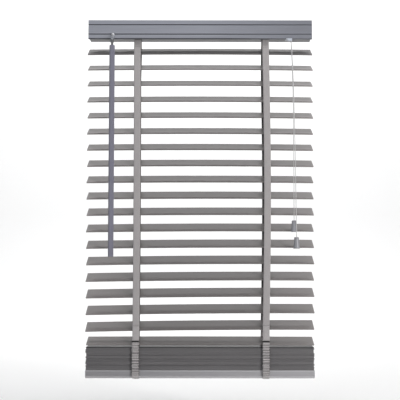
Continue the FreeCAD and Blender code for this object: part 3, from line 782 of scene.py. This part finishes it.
def tape_line(way, z_high, z_low):
    """The hanging line of a tape: it bellies a little between the slats."""
    step_height, belly_depth = 0.0036, 0.0004
    line = []
    steps = max(2, int((z_high - z_low) / step_height))
    pitch = SLAT_Z[0] - SLAT_Z[1]
    for step in range(steps + 1):
        z = z_high + (z_low - z_high) * step / steps
        phase = (SLAT_Z[0] - z) / pitch
        belly = belly_depth * math.sin(math.pi * phase) ** 2
        line.append((way * (TAPE_Y + belly), z))
    return line


def head_line(way, z_low):
    """The tape's run from the drum's bar through the headrail's floor to the first slat."""
    bar_radius, drum_z, floor_z = 0.0134, -0.026, -0.046
    slot_y = way * 0.018
    y = way * bar_radius * math.cos(SLAT_TILT)
    z = drum_z + way * bar_radius * math.sin(SLAT_TILT)
    low_z = z - 0.002
    line = [(y, z + 0.0018), (y, low_z)]
    for share in (0.25, 0.5, 0.75, 1.0):
        line.append((y + (slot_y - y) * share, low_z + (floor_z - low_z) * share))
    for share in (0.2, 0.4, 0.6, 0.8, 1.0):
        smooth = share * share * (3 - 2 * share)
        out = (way * TAPE_Y - slot_y) * (0.5 * share + 0.5 * smooth)
        line.append((slot_y + out, floor_z + (z_low - floor_z) * share))
    return line


def make_tapes():
    """Front and rear bands: a head in the headrail and a long middle that gathers."""
    first, last = SLAT_Z[0] + 0.006, SLAT_Z[-1]
    # The rear middle bands take the near-black painted-shade cloth.
    for name, way, cloth in (("front", -1, TAPE_CLOTH), ("rear", 1, REAR_TAPE_PAINTED_SHADE)):
        def heads(form):
            for x in TAPE_X:
                band(form, head_line(way, first), x)

        head = mesh_object(f"{name}_tape_heads", heads, TAPE_CLOTH)
        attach(head, f"{name}_tapes")

        def middles(form):
            for x in TAPE_X:
                band(form, tape_line(way, first, last), x, lean=tape_lean(x, way))

        long = mesh_object(f"{name}_tape_bands", middles, cloth)
        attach(long, "headrail")
        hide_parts(f"{name}_tapes")
        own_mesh(long)


def crumpled_line(way, z_high, z_low, rng):
    """The slack of a tape, folded to and fro in front of the stack."""
    folds, steps = 21, 8
    base, slip_depth, sharpness = 0.0034, 0.0010, 1.6
    depths = [rng.uniform(0.0026, 0.0040) for _ in range(folds)]
    starts = [rng.uniform(-0.0005, 0.0005) for _ in range(folds + 1)]
    hem = z_high + 0.0046
    line = [
        (way * (TAPE_Y + 0.0030), hem + 0.0060),
        (way * (TAPE_Y + 0.0042), hem + 0.0012),
        (way * (TAPE_Y + 0.0040), hem - 0.0002),
        (way * (TAPE_Y + 0.0018), hem - 0.0010),
    ]
    pitch = (z_low - z_high) / folds
    for fold, depth in enumerate(depths):
        for step in range(steps):
            phase = step / steps
            turn = 2 * math.pi * phase
            out = base + depth * (0.5 - 0.5 * math.cos(turn)) ** sharpness
            slip = slip_depth * math.sin(turn + 1.2)
            stray = starts[fold] * (1 - phase) + starts[fold + 1] * phase
            line.append((way * (TAPE_Y + out), z_high + pitch * (fold + phase) + slip + stray))
    return line


def make_tails():
    """The tapes' tails: flat by the loose slat, crumpled over the stack and flat under the rail."""
    rng = random.Random(5)
    last = SLAT_Z[-1]
    front, low = RAIL_HIGH.y, RAIL_LOW.z
    under = low - TAPE_THICKNESS / 2 - 0.0001
    button_side = BUTTON_RADIUS + 0.0004

    def build(form):
        for x in TAPE_X:
            for way in (-1, 1):
                shift = tape_lean(x, way)(last)
                line = tape_line(way, last - 0.0005, FOLDS_TOP + 0.018)
                line += crumpled_line(way, FOLDS_TOP, FOLDS_FOOT, rng)
                line += [
                    (way * (front + 0.0006), low + 0.0052),
                    (way * (front - 0.0020), low + 0.0018),
                    (way * (front - 0.0048), under),
                    (way * (front - 0.010), under),
                    (way * button_side, under),
                ]
                band(form, line, x + shift, lean=fold_lean(x, last))

    tails = mesh_object("tape_tails_cloth", build, TAIL_CLOTH)
    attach(tails, "bottom_rail")
    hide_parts("tape_tails")


def add_rung(form, place, x):
    """A flat narrow strip across the underside of a slat."""
    below = SLAT_THICKNESS / 2 + 0.0004
    half, thick, reach, sag_depth, steps = 0.0015, 0.0002, 0.0252, 0.0001, 14
    section = [(-half, thick), (0, thick), (half, thick), (half, -thick), (0, -thick), (-half, -thick)]
    rings = []
    for step in range(steps + 1):
        share = 2 * step / steps - 1
        y, z = share * reach, -below - sag_depth * (1 - share * share)
        rings.append([form.verts.new(place(x + dx, y, z + dz)) for dx, dz in section])
    join_rings(form, rings)


def make_rungs():
    """Narrow woven rungs under each slat, two at each tape, which tilt with the slat."""
    for number, drop in enumerate(SLAT_Z, start=1):
        place = hang(number)

        def build(form):
            for x in TAPE_X:
                for offset in (-0.006, 0.006):
                    add_rung(form, place, x + tape_lean(x, -1)(drop) + offset)

        rungs = mesh_object(f"slat_{number:02d}_rungs", build, TAPE_CLOTH)
        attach(rungs, f"slat_{number:02d}")
        if number > 1:
            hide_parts(f"rungs_{number:02d}")


make_tapes()
make_tails()
make_rungs()


# ---------------------------------------------------------------- rails and fittings


def make_buttons():
    """Milky plastic buttons under the rail, with a dished face and a rolled rim."""
    profile = [
        (0, 0.0012), (0.0050, 0.0010), (0.0066, 0.0004), (0.0074, 0.0), (0.0086, 0.0002),
        (0.0094, 0.0011), (BUTTON_RADIUS, 0.0022), (0.0092, 0.0032), (0.0085, 0.0035),
        (0.0039, 0.0035), (0.0038, 0.0098), (0.0032, 0.0104), (0, 0.0105),
    ]

    def build(form):
        for x in TAPE_X:
            add_lathe(form, profile, Vector((x, 0, BUTTONS_LOW.z)))

    buttons = mesh_object("rail_buttons_milky", build, BUTTON_PLASTIC)
    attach(buttons, "bottom_rail")
    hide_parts("rail_buttons")


def paint_nodes():
    """The CAD nodes that show as they are."""
    paint("valance", VALANCE_PAINT, 0.0005)
    paint("headrail", STEEL_PAINT)
    paint("headrail_end_caps", CAP_PLASTIC, 0.0006)
    paint("mounting_brackets", BRACKET_PAINT, 0.0003)
    paint("bottom_rail", RAIL_PAINT, 0.0006)
    paint("rail_end_caps", CAP_PLASTIC, 0.0004)
    paint("tilter_housing", WHITE_PLASTIC, 0.0005)
    paint("tilter_wheel", WHITE_PLASTIC, 0.0002)
    paint("tilter_worm", CLEAR)
    paint("ladder_drums", WHITE_PLASTIC, 0.0004)
    paint("ladder_cradles", WHITE_PLASTIC, 0.0003)
    paint("cord_lock_body", LOCK_PLASTIC, 0.0008)
    paint("cord_lock_roller", ZINC, 0.0003)
    paint("tilt_rod", ZINC, 0.0003)
    paint("wand_cup", DARK_PLASTIC, 0.0004)
    paint("tilt_wand", WAND_PAINT, 0.0007, 3)


make_buttons()
paint_nodes()


# ---------------------------------------------------------------- floor, backdrop and light


def make_stage():
    """A pale floor that sweeps up into a pale backdrop, far enough back for views from behind."""
    cad_low_z = min(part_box(name)[0].z for name in NODES)
    floor_z = cad_low_z - 0.14
    near_y, back_y, top_z, half_width, radius = -4.6, 4.6, 4.0, 6.0, 0.8
    line = [(near_y, floor_z)]
    for step in range(17):
        angle = math.pi / 2 * step / 16
        sweep_y = back_y - radius + radius * math.sin(angle)
        line.append((sweep_y, floor_z + radius * (1 - math.cos(angle))))
    line.append((back_y, top_z))

    def build(form):
        rows = [[form.verts.new((x, y, z)) for x in (-half_width, half_width)] for y, z in line]
        for lower, upper in zip(rows, rows[1:]):
            form.faces.new((lower[0], lower[1], upper[1], upper[0]))

    made = Nodes("stage_paper")
    made.shader.inputs["Base Color"].default_value = (0.94, 0.94, 0.94, 1.0)
    made.shader.inputs["Roughness"].default_value = 0.9
    mesh_object("stage", build, made.material)


def area_light(name, place, target, size, power, colour=(1, 1, 1)):
    """A soft rectangular light that faces a point."""
    data = bpy.data.lights.new(name, "AREA")
    data.shape = "RECTANGLE"
    data.size, data.size_y = size
    data.energy = power
    data.color = colour
    light = add_object(name, data)
    light.location = place
    light.rotation_euler = (Vector(target) - Vector(place)).to_track_quat("-Z", "Y").to_euler()


def make_light():
    """Soft light from above, a key light on the right, a cool fill, and light on the backdrop."""
    world = bpy.data.worlds.new("studio")
    world.use_nodes = True
    background = world.node_tree.nodes["Background"]
    background.inputs["Color"].default_value = (1.0, 1.0, 1.0, 1.0)
    background.inputs["Strength"].default_value = 0.28
    bpy.context.scene.world = world
    area_light("top_light", (0.2, -0.7, 1.5), (0, 0, -0.4), (1.2, 0.7), 17)
    area_light("key_light", (1.7, -2.1, -0.2), (0, 0, -0.55), (0.35, 0.35), 29)
    area_light("front_fill", (-1.6, -2.0, 0.5), (0, 0, -0.1), (0.8, 0.8), 5, (0.72, 0.86, 1.0))
    area_light("backdrop_light", (0.0, 2.4, 3.2), (0, 4.6, -0.6), (5.0, 0.8), 158)


make_stage()
make_light()
